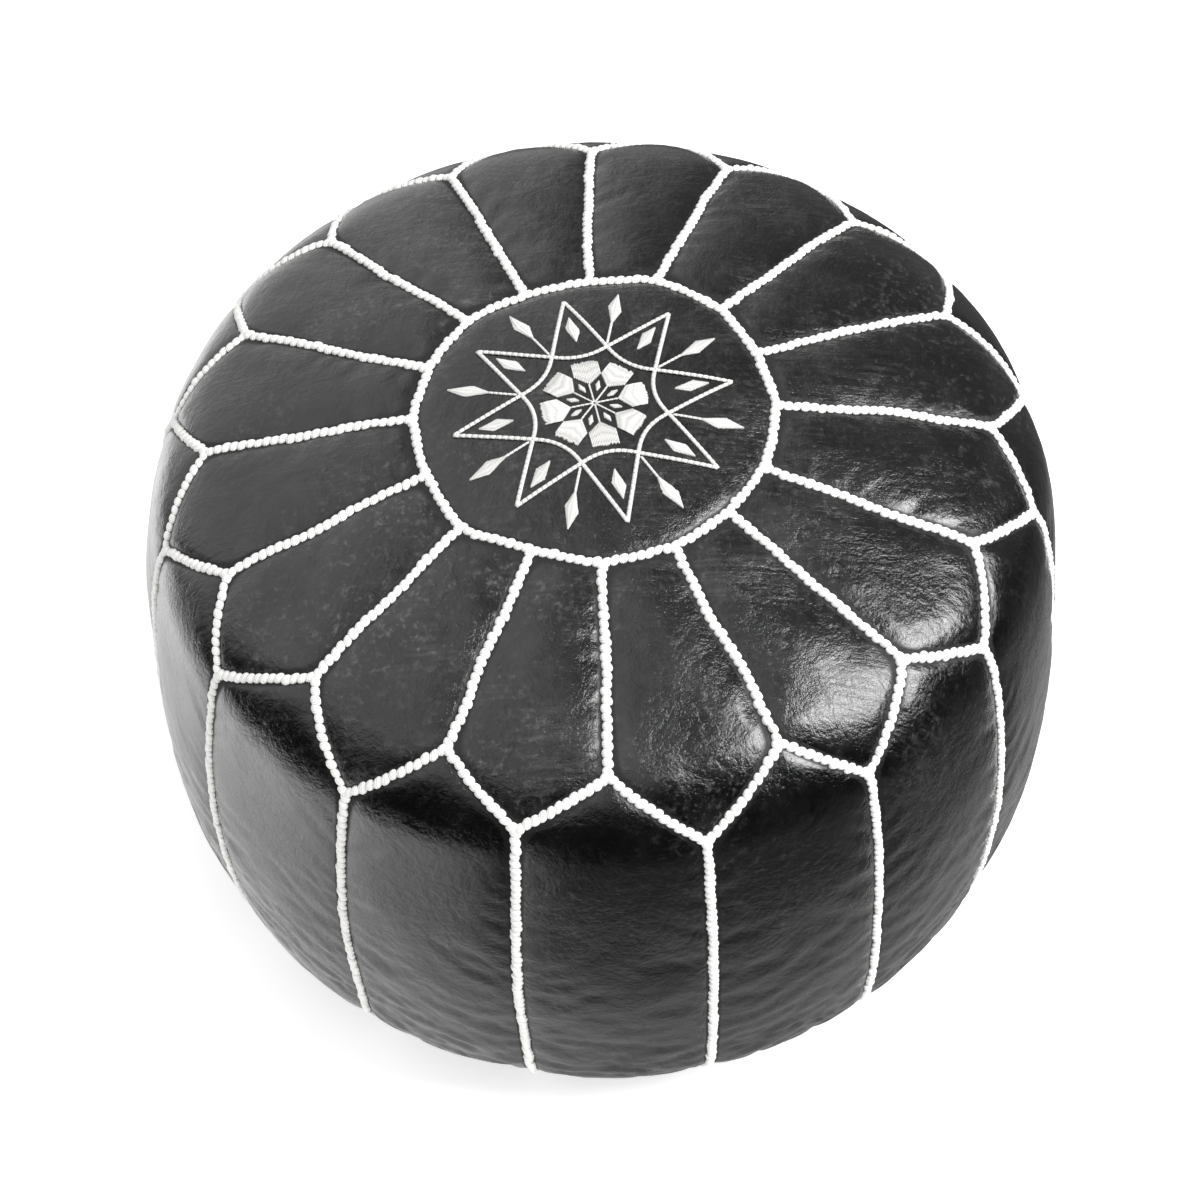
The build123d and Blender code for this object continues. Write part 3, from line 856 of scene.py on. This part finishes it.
class POUF_OT_cover(bpy.types.Operator):
    """Make the leather medallion, petals and side panels"""

    bl_idname = "pouf.cover"
    bl_label = "Leather cover"

    def execute(self, context):
        sizes = context.scene.pouf_sizes
        leather = leather_finish("glossy_leather", context.scene.pouf_colours, 0.15)
        meridian = made["meridian"] = Meridian(sizes)
        layout = made["layout"] = Layout(meridian, sizes)
        across = np.linspace(0, 1, 15)
        plans = []
        for index in range(PANELS):
            plans.append((f"petal_{index + 1:02d}", layout.petal, index, np.linspace(0, 1, 21)))
        for index in range(PANELS):
            name = f"side_panel_{index + 1:02d}"
            plans.append((name, layout.side_panel, index, np.linspace(0, 1, 53)))
        panels = []
        for name, plan, index, down in plans:
            turn, run, width, before, after = plan(index, down, across)
            distance = seam_distance(meridian, run, width, before, after, across)
            grid, out = meridian.spots(turn, run)
            panels.append((name, grid, out, distance))
        blown = relaxed([panel[1] for panel in panels], [panel[2] for panel in panels], sizes)
        draw = np.random.default_rng(5)
        for panel, grid in zip(panels, blown):
            name, _, out, distance = panel
            fine = refined(grid)
            out = refined(out)
            distance = np.maximum(refined(distance[..., None])[..., 0], 0.0)
            distance[0], distance[-1], distance[:, 0], distance[:, -1] = 0, 0, 0, 0
            height = fine[..., 2]
            low = np.clip((0.2 - height) / 0.14, 0, 1) if name.startswith("side") else 0 * height
            shaped = settle(fine, out, distance, low, sizes)
            made[name] = (shaped, out)
            tone = draw.random() * 0.35 if name.startswith("side") else 0.3 + 0.6 * draw.random()
            self.add_panel(name, shaped, distance, tone, leather, sizes)
        self.add_medallion(meridian, layout, leather, sizes)
        return {"FINISHED"}

    def add_panel(self, name, grid, distance, tone, leather, sizes):
        """Turn one grid into a leather panel with its thickness."""
        rows, columns = grid.shape[:2]
        marks = {
            "tone": np.full(rows * columns, tone),
            "seam": seam_mark(distance),
        }
        faces = grid_faces(rows, columns)
        piece = new_piece("leather_" + name, grid.reshape(-1, 3), faces, leather, marks)
        finish_with(piece, "SOLIDIFY", thickness=sizes.leather, offset=-1.0)
        settle_in(piece, "root", "cover_leather", name)

    def add_medallion(self, meridian, layout, leather, sizes):
        """Fill the ring inside the petals with the round medallion."""
        rim = []
        turns = []
        for index in range(PANELS):
            shaped, _ = made[f"petal_{index + 1:02d}"]
            rim.append(shaped[0, :-1])
            fine = np.linspace(0, 1, shaped.shape[1])[:-1]
            left = layout.radial(index, np.zeros(1))[0]
            right = layout.radial(index + 1, np.zeros(1))[0]
            turns.append(left + (right - left) * fine)
        rim = np.concatenate(rim)
        turn = np.concatenate(turns)
        rim_run = np.interp(np.hypot(rim[:, 0], rim[:, 1]), meridian.radius[:400],
                            meridian.run[:400])
        share = np.linspace(0, 1, 34)[1:, None]
        run = share * rim_run
        grid, out = meridian.spots(np.broadcast_to(turn, run.shape), run)
        distance = rim_run - run
        swell = 0.35 * sizes.crown * (1 - np.exp(-distance / (25 * MM)))
        grid = grid + out * swell[..., None]
        shaped = settle(grid, out, distance, 0 * distance, sizes)
        shaped[-1] = rim
        rows, columns = shaped.shape[:2]
        top = np.array((0.0, 0.0, shaped[0, :, 2].mean()))
        points = np.concatenate((shaped.reshape(-1, 3), top[None]))
        faces = ring_faces(rows, columns)
        centre = rows * columns
        faces.extend((centre, column, (column + 1) % columns) for column in range(columns))
        seam = np.append(seam_mark(distance).ravel(), 0.0)
        marks = {"tone": np.full(len(points), 0.45), "seam": seam}
        piece = new_piece("leather_medallion", points, faces, leather, marks)
        made["medallion_top"] = BVHTree.FromPolygons(points.tolist(), faces)
        finish_with(piece, "SOLIDIFY", thickness=sizes.leather, offset=-1.0)
        settle_in(piece, "root", "cover_leather", "medallion")


class POUF_OT_seams(bpy.types.Operator):
    """Overcast the seams with white thread"""

    bl_idname = "pouf.seams"
    bl_label = "Overcast seams"

    def execute(self, context):
        sizes = context.scene.pouf_sizes
        colours = context.scene.pouf_colours
        thread = thread_finish("spun_thread", colours.thread, 1.6)
        pattern = overcast_pattern()
        draw = np.random.default_rng(23)
        paths = {"medallion_seam": [], "radial_seams": [], "chevron_seam": [], "side_seams": []}
        ring = []
        for index in range(PANELS):
            petal, petal_out = made[f"petal_{index + 1:02d}"]
            side, side_out = made[f"side_panel_{index + 1:02d}"]
            ring.append((petal[0], petal_out[0]))
            paths["radial_seams"].append((petal[:, 0], petal_out[:, 0]))
            middle = petal.shape[1] // 2
            paths["chevron_seam"].append((petal[-1, :middle + 1], petal_out[-1, :middle + 1]))
            paths["chevron_seam"].append((petal[-1, middle:], petal_out[-1, middle:]))
            keep = side[:, -1, 2] > sizes.stitch_height
            paths["side_seams"].append((side[keep, -1], side_out[keep, -1]))
        path = np.concatenate([points[:-1] for points, _ in ring] + [ring[0][0][:1]])
        out = np.concatenate([sides[:-1] for _, sides in ring] + [ring[0][1][:1]])
        paths["medallion_seam"].append((path, out))
        for name, lines in paths.items():
            frames = []
            for points, sides in lines:
                frames.extend(self.stitches(points, sides, sizes, draw))
            piece = copies("thread_" + name, pattern, frames, thread)
            settle_in(piece, "root", "seam_thread", name)
        return {"FINISHED"}

    def stitches(self, points, sides, sizes, draw):
        """Frames of the stitches along one seam, each a little uneven."""
        places, ahead, outward = resampled(points, sides, sizes.stitch_pitch)
        for place, direction, side in zip(places, ahead, outward):
            jitter = draw.normal(0.0, 1.0, 5).clip(-2, 2)
            length = sizes.stitch_pitch * (1.22 + 0.05 * jitter[0])
            width = sizes.stitch_width * (1.0 + 0.07 * jitter[1])
            height = sizes.stitch_height * (1.0 + 0.08 * jitter[2])
            side = side / np.linalg.norm(side)
            along = direction / np.linalg.norm(direction)
            across = np.cross(side, along)
            origin = place + side * 0.32 * height + across * 0.25 * MM * jitter[3]
            slant = 0.28 + 0.08 * jitter[4]
            yield set_frame(origin, direction, side, length, width, height, slant)


class Hoop:
    """The embroidery's drawing board, pressed onto the medallion."""

    def __init__(self):
        self.top = made["medallion_top"]
        self.frames = []

    def spot(self, x, y):
        """Point on the medallion under a plan point, and the outward side there."""
        above = Vector((x + MEDALLION_SHIFT[0], y + MEDALLION_SHIFT[1], 1.0))
        hit, out, _, _ = self.top.ray_cast(above, Vector((0, 0, -1)))
        return np.array(hit), np.array(out)

    def stitch(self, start, end, width, height, slant=0.0):
        """Lay one stitch between two plan points."""
        first, _ = self.spot(*start)
        last, _ = self.spot(*end)
        middle, out = self.spot((start[0] + end[0]) / 2, (start[1] + end[1]) / 2)
        if out[2] < 0:
            out = -out
        span = last - first
        origin = (first + last) / 2 * 0.5 + middle * 0.5 + out * height * 0.22
        length = np.linalg.norm(span)
        self.frames.append(set_frame(origin, span, out, length, width, height, slant))

    def line(self, points, pitch, width, height, overlap=1.14, slant=0.3):
        """Row of short stitches along a line of plan points."""
        path = np.array([(x, y, 0.0) for x, y in points])
        places, ahead, _ = resampled(path, path, pitch)
        for place, direction in zip(places, ahead):
            half = direction / np.linalg.norm(direction) * pitch * overlap / 2
            self.stitch((place - half)[:2], (place + half)[:2], width, height, slant)


def turned(points, degrees):
    """Plan points turned about the axis."""
    c, s = cos(radians(degrees)), sin(radians(degrees))
    return [(x * c - y * s, x * s + y * c) for x, y in points]


class POUF_OT_embroidery(bpy.types.Operator):
    """Embroider the star, leaves and rosette on the medallion"""

    bl_idname = "pouf.embroidery"
    bl_label = "Embroidery"

    ARMS = 8
    START = 11.25

    def execute(self, context):
        colours = context.scene.pouf_colours
        # The embroidery thread is the seam thread painted darker, a shaded copy for the brightly lit
        # top.
        shaded_thread = tuple(channel * 0.74 for channel in colours.thread)
        thread = thread_finish("satin_thread", shaded_thread, 0.9)
        strand = satin_pattern()
        self.step = 360.0 / self.ARMS
        self.draw = np.random.default_rng(31)
        jobs = {
            "star_outline": self.star,
            "inner_leaves": self.inner_leaves,
            "outer_leaves": self.outer_leaves,
            "rosette_blocks": self.blocks,
            "rosette_leaves": self.rosette_leaves,
            "rosette_rays": self.rays,
        }
        for name, job in jobs.items():
            hoop = Hoop()
            job(hoop)
            piece = copies("embroidered_" + name, strand, hoop.frames, thread)
            settle_in(piece, "root", "embroidery_thread", name)
        return {"FINISHED"}

    def arms(self, half=0.0):
        """Angle of each arm, a little uneven, or of the gap after it."""
        for arm in range(self.ARMS):
            yield self.START + (arm + half) * self.step + self.draw.normal(0.0, 0.7)

    def star(self, hoop):
        """Two four pointed outlines with hollow sides."""
        tip = box_radius("star_outline")
        tips = [tip * self.draw.normal(1.0, 0.012) for _ in range(self.ARMS)]
        waist = tip * 0.395
        for arm in range(self.ARMS):
            first, second = tips[arm], tips[(arm + 2) % self.ARMS]
            angle = self.START + arm * self.step
            start = np.array(turned([(first, 0.0)], angle)[0])
            end = np.array(turned([(second, 0.0)], angle + 2 * self.step)[0])
            bend = np.array(turned([(waist, 0.0)], angle + self.step)[0])
            near = bend + (start - bend) * 0.24
            far = bend + (end - bend) * 0.24
            share = np.linspace(0, 1, 9)[:, None]
            curve = near * (1 - share) ** 2 + 2 * bend * share * (1 - share) + far * share**2
            points = np.concatenate((start[None], curve, end[None]))
            hoop.line(points, 3.2 * MM, 2.3 * MM, 1.5 * MM)

    def leaf(self, hoop, centre, length, width, angle):
        """Satin leaf: slanted strands across a lozenge."""
        half = length / 2
        count = int(length / (0.72 * MM))
        for index in range(count):
            along = -half + (index + 0.5) * length / count
            reach = width / 2 * (1 - abs(along) / half) + 0.25 * MM
            reach *= self.draw.normal(1.0, 0.03)
            slant = 0.45 * reach
            ends = [(centre + along - slant, -reach), (centre + along + slant, reach)]
            hoop.stitch(*turned(ends, angle), 0.85 * MM, 1.15 * MM)

    def inner_leaves(self, hoop):
        for angle in self.arms():
            self.leaf(hoop, 53 * MM, 18.5 * MM, 6.8 * MM, angle)

    def outer_leaves(self, hoop):
        for angle in self.arms(0.5):
            self.leaf(hoop, 68 * MM, 23 * MM, 7.2 * MM, angle)
            stem = turned([(42 * MM, 0.0), (57 * MM, 0.0)], angle)
            hoop.line(stem, 2.6 * MM, 1.5 * MM, 1.0 * MM)

    def blocks(self, hoop):
        """Satin blocks of the rosette, strands running outwards from a notch."""
        for angle in self.arms():
            half = 7.3 * MM
            count = 17
            for index in range(count):
                aside = (index + 0.5) / count * 2 * half - half
                start = 12.5 * MM + abs(aside) * 0.86
                end = 28.6 * MM * self.draw.normal(1.0, 0.01) - abs(aside) * 0.1
                hoop.stitch(*turned([(start, aside), (end, aside)], angle), 0.9 * MM, 1.3 * MM)

    def rosette_leaves(self, hoop):
        for angle in self.arms(0.5):
            self.leaf(hoop, 11.5 * MM, 6.5 * MM, 2.4 * MM, angle)

    def rays(self, hoop):
        for angle in self.arms():
            hoop.line(turned([(0.8 * MM, 0.0), (12.6 * MM, 0.0)], angle), 2.4 * MM, 1.0 * MM,
                      0.9 * MM)


class POUF_OT_filling(bpy.types.Operator):
    """Pack the cover with cotton wadding"""

    bl_idname = "pouf.filling"
    bl_label = "Filling"

    def execute(self, context):
        low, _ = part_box("filling")
        colours = context.scene.pouf_colours
        meridian = made["meridian"]
        inset = 8 * MM
        columns = 120
        run = np.linspace(0, meridian.lower_run(0.004), 90)[1:]
        rows = len(run)
        turn = np.linspace(0, 360, columns + 1)[:-1]
        grid, out = meridian.spots(np.broadcast_to(turn, (rows, columns)), run[:, None] + 0 * turn)
        lumps = sampled(grid, self.clump)
        grid = grid - out * (inset + 1.6 * MM * (1 + lumps))[..., None]
        radius = np.hypot(grid[..., 0], grid[..., 1])
        floor = low[2] + (1 - np.clip((radius - 0.135) / 0.03, 0, 1)) * 14 * MM
        grid[..., 2] = np.maximum(grid[..., 2], floor)
        ends = (grid[0].mean(axis=0), grid[-1].mean(axis=0))
        points = np.concatenate((grid.reshape(-1, 3), ends))
        faces = ring_faces(rows, columns)
        last = (rows - 1) * columns
        for column in range(columns):
            after = (column + 1) % columns
            faces.append((rows * columns, column, after))
            faces.append((rows * columns + 1, last + after, last + column))
        piece = new_piece("cotton_filling", points, faces, wadding_finish(colours.wadding))
        settle_in(piece, "root", "wadding", "filling")
        return {"FINISHED"}

    def clump(self, point):
        """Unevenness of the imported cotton."""
        place = Vector(point)
        return noise.noise(place * 18.0) + 0.6 * noise.noise(place * 50.0)


class POUF_OT_base(bpy.types.Operator):
    """Make the two halves of the base"""

    bl_idname = "pouf.base"
    bl_label = "Base"

    def execute(self, context):
        sizes = context.scene.pouf_sizes
        colours = context.scene.pouf_colours
        leather = leather_finish("base_leather", colours, 0.3)
        meridian = made["meridian"]
        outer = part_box("base_half_front")[1][0]
        slot_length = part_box("zipper_bottom_stop")[0][0] * -1 + 3 * MM
        slot_width = 6.5 * MM
        for name, side in (("front", -1), ("back", 1)):
            turn = np.linspace(0, pi, 97)
            straight = slot_length - slot_width
            inner_x = straight * np.cos(turn) + slot_width * np.cos(turn)
            inner_y = slot_width * np.minimum(1.0, np.sin(turn) * 6)
            share = np.linspace(0, 1, 52)[:, None] ** 0.9
            x = inner_x + (outer * np.cos(turn) - inner_x) * share
            y = inner_y + (outer * np.sin(turn) - inner_y) * share
            y = np.maximum(y, 0.25 * MM)
            radius = np.hypot(x, y)
            part = slice(meridian.widest, len(meridian.run))
            height = np.interp(-radius, -meridian.radius[part], meridian.height[part])
            wrinkle = np.array([
                noise.noise((px * 60, py * 22, side * 3.0)) + 0.6 * noise.noise((px * 20, py * 20, side))
                for px, py in zip(x.ravel(), y.ravel())
            ]).reshape(x.shape)
            distance = outer - radius
            near_rim = np.exp(-((distance / (25 * MM)) ** 2))
            dished = 0.25 + 0.75 * (height > 1 * MM)
            height = height + np.abs(wrinkle) * 1.2 * MM * dished * (1 - near_rim)
            grid = np.stack((x, side * y, height), axis=-1)
            down = np.broadcast_to((0.0, 0.0, -1.0), grid.shape)
            sewn = settle(grid, down, np.maximum(distance, 0.0), 0 * distance, sizes)
            grid = grid + (sewn - grid) * near_rim[..., None]
            faces = grid_faces(*grid.shape[:2])
            if side > 0:
                faces = [tuple(reversed(face)) for face in faces]
            # Along the zipper slot and the rim this mark makes the leather finish paint a dark band of
            # shade.
            seam = np.maximum(np.exp(-y / (6 * MM)), seam_mark(distance))
            marks = {"tone": np.full(x.size, 0.5), "seam": seam}
            piece = new_piece(f"leather_base_{name}", grid.reshape(-1, 3), faces, leather, marks)
            finish_with(piece, "SOLIDIFY", thickness=sizes.leather, offset=-1.0)
            settle_in(piece, "root", "base_leather", f"base_half_{name}")
        return {"FINISHED"}


class POUF_OT_zipper(bpy.types.Operator):
    """Finish the zipper's tapes, teeth, stops, slider and pull"""

    bl_idname = "pouf.zipper"
    bl_label = "Zipper"

    def execute(self, context):
        tape = tape_finish()
        brass = metal_finish(context.scene.pouf_colours.brass)
        for name in ("zipper_tape_front", "zipper_tape_back"):
            self.dress(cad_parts[name], tape)
        for name in ("zipper_teeth_front", "zipper_teeth_back", "zipper_top_stops",
                     "zipper_bottom_stop"):
            self.dress(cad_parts[name], brass)
        for name, body in (("zipper_slider", "slider"), ("zipper_pull", "pull")):
            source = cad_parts[name]
            mesh = source.data.copy()
            mesh.materials.clear()
            mesh.materials.append(brass)
            piece = bpy.data.objects.new("rounded_" + name, mesh)
            context.scene.collection.objects.link(piece)
            clean_start()
            context.view_layer.objects.active = piece
            piece.select_set(True)
            bpy.ops.object.mode_set(mode="EDIT")
            bpy.ops.mesh.select_all(action="SELECT")
            bpy.ops.mesh.remove_doubles(threshold=1e-6)
            bpy.ops.mesh.dissolve_limited(angle_limit=radians(2))
            bpy.ops.object.mode_set(mode="OBJECT")
            finish_with(piece, "BEVEL", width=0.18 * MM, segments=2, limit_method="ANGLE",
                        angle_limit=radians(50))
            clean_start()
            piece.select_set(True)
            context.view_layer.objects.active = piece
            bpy.ops.object.shade_smooth_by_angle(angle=radians(40))
            settle_in(piece, body, "zipper_metal", name)
        return {"FINISHED"}

    def dress(self, node, material):
        node.data.materials.clear()
        node.data.materials.append(material)


# Stage


class POUF_OT_stage(bpy.types.Operator):
    """Set the floor, the light and the camera"""

    bl_idname = "pouf.stage"
    bl_label = "Studio"

    CAMERA_DISTANCE = 1.6
    CAMERA_ELEVATION = 55.4
    CAMERA_ROLL = -2.0
    CAMERA_LENS = 82.3
    SOFTBOX_PLACE = (1.05, -0.33, 1.38)
    SOFTBOX_AIM = (0.17, -0.17, 0.3)
    SOFTBOX_WIDTH = 0.7
    SOFTBOX_DEPTH = 1.0
    SOFTBOX_POWER = 31.0

    def execute(self, context):
        context.scene.view_settings.view_transform = "Standard"
        self.floor(context)
        self.world(context)
        self.softbox(context)
        self.camera(context)
        return {"FINISHED"}

    def camera(self, context):
        top = CAD_BOX[1][2]
        aim = Vector((-0.0017, 0.0, top * 0.449))
        tilt = radians(self.CAMERA_ELEVATION)
        roll = radians(self.CAMERA_ROLL)
        back = Vector((0, -cos(tilt), sin(tilt)))
        right = Vector((1, 0, 0))
        up = Vector((0, sin(tilt), cos(tilt)))
        leaning_right = right * cos(roll) + up * sin(roll)
        leaning_up = up * cos(roll) - right * sin(roll)
        data = bpy.data.cameras.new("camera")
        data.lens = self.CAMERA_LENS
        data.sensor_width = 36.0
        camera = bpy.data.objects.new("camera", data)
        turn = Matrix((leaning_right, leaning_up, back)).transposed().to_4x4()
        camera.matrix_world = Matrix.Translation(aim + back * self.CAMERA_DISTANCE) @ turn
        context.scene.collection.objects.link(camera)
        context.scene.camera = camera

    def softbox(self, context):
        """Broad lamp high on the right."""
        data = bpy.data.lights.new("right_softbox", "AREA")
        data.shape = "RECTANGLE"
        data.size = self.SOFTBOX_WIDTH
        data.size_y = self.SOFTBOX_DEPTH
        data.energy = self.SOFTBOX_POWER
        lamp = bpy.data.objects.new("right_softbox", data)
        direction = Vector(self.SOFTBOX_AIM) - Vector(self.SOFTBOX_PLACE)
        turn = direction.to_track_quat("-Z", "Y").to_matrix().to_4x4()
        lamp.matrix_world = Matrix.Translation(self.SOFTBOX_PLACE) @ turn
        context.scene.collection.objects.link(lamp)

    def floor(self, context):
        """Pale floor that fades out, lifted to white for the eye and uneven in reflections."""
        clean_start()
        bpy.ops.mesh.primitive_circle_add(
            vertices=96, radius=1.6, fill_type="NGON", location=(0, 0, -0.4 * MM)
        )
        floor = context.object
        floor.name = "studio_floor"
        finish = Finish("pale_floor")
        links = finish.tree.links
        place = finish.node("TexCoord", output=3)
        length = finish.node("VectorMath", {"operation": "LENGTH"}, [place], output=1)
        aside = finish.node("SeparateXYZ", {}, [place])
        paper = finish.noise(6.0, 3.0, 0.5)
        base = finish.blend(paper, (0.84, 0.84, 0.84), (0.88, 0.88, 0.88))
        finish.shade(Base_Color=base, Roughness=0.9, Specular_IOR_Level=0.1,
                     Emission_Color=(1.0, 1.0, 1.0, 1.0), Emission_Strength=0.5)
        far = length.ramp(0.33, 0.5)
        near_glow = 0.45 + 0.5 * (1.0 - aside.ramp(-0.25, 0.05))
        far_glow = 0.13 + 2.1 * (1.0 - aside.ramp(-0.6, -0.05))
        glow = near_glow * (1.0 - far) + far_glow * far
        card = finish.node("Emission", {}, {"Strength": glow})
        clear = finish.node("BsdfTransparent")
        beneath = finish.node("NewGeometry", output=6)
        glossy = finish.node("LightPath", output=3)
        out = finish.tree.nodes["Material Output"]
        seen = finish.node("MixShader", {}, [glossy])
        links.new(finish.shader.outputs[0], seen.socket.node.inputs[1])
        links.new(card.socket, seen.socket.node.inputs[2])
        faded = finish.node("MixShader", {}, [length.ramp(0.6, 1.4).math("MAXIMUM", beneath)])
        links.new(seen.socket, faded.socket.node.inputs[1])
        links.new(clear.socket, faded.socket.node.inputs[2])
        links.new(faded.socket, out.inputs[0])
        floor.data.materials.append(finish.material)

    def world(self, context):
        """White backdrop; reflections find a bright ceiling and a dark ring near the horizon."""
        sky = Finish("studio", world=True)
        context.scene.world = sky.material
        split = sky.node("SeparateXYZ", {}, [sky.node("TexCoord", output=0)])
        rise = Wire(sky, split.socket.node.outputs[2])
        depth = Wire(sky, split.socket.node.outputs[1])
        ceiling = (rise + depth * 0.9).ramp(-0.05, 0.6) * (1.06 - 0.86 * split.ramp(-0.35, 0.35))
        glossy = sky.node("LightPath", output=3)
        camera = sky.node("LightPath", output=0)
        even = 0.92 + camera * 0.13 - glossy * 0.92
        strength = even + ceiling * glossy
        sky.shade(Color=(1.0, 1.0, 1.0, 1.0), Strength=strength)


class POUF_PT_panel(bpy.types.Panel):
    """Buttons that build the pouf piece by piece"""

    bl_idname = "POUF_PT_panel"
    bl_label = "Leather pouf"
    bl_space_type = "VIEW_3D"
    bl_region_type = "UI"
    bl_category = "Pouf"

    def draw(self, context):
        for operator in OPERATORS:
            self.layout.operator(operator.bl_idname)
        for group in (context.scene.pouf_sizes, context.scene.pouf_colours):
            for name in group.__annotations__:
                self.layout.prop(group, name)


OPERATORS = (
    POUF_OT_stage,
    POUF_OT_cover,
    POUF_OT_seams,
    POUF_OT_embroidery,
    POUF_OT_filling,
    POUF_OT_base,
    POUF_OT_zipper,
)
CLASSES = (PoufSizes, PoufColours, *OPERATORS, POUF_PT_panel)


def register():
    for cls in CLASSES:
        bpy.utils.register_class(cls)
    bpy.types.Scene.pouf_sizes = bpy.props.PointerProperty(type=PoufSizes)
    bpy.types.Scene.pouf_colours = bpy.props.PointerProperty(type=PoufColours)


def unregister():
    del bpy.types.Scene.pouf_colours
    del bpy.types.Scene.pouf_sizes
    for cls in reversed(CLASSES):
        bpy.utils.unregister_class(cls)


def main():
    register()
    bpy.ops.pouf.stage()
    bpy.ops.pouf.cover()
    bpy.ops.pouf.seams()
    bpy.ops.pouf.embroidery()
    bpy.ops.pouf.filling()
    bpy.ops.pouf.base()
    bpy.ops.pouf.zipper()


if __name__ == "__main__":
    main()
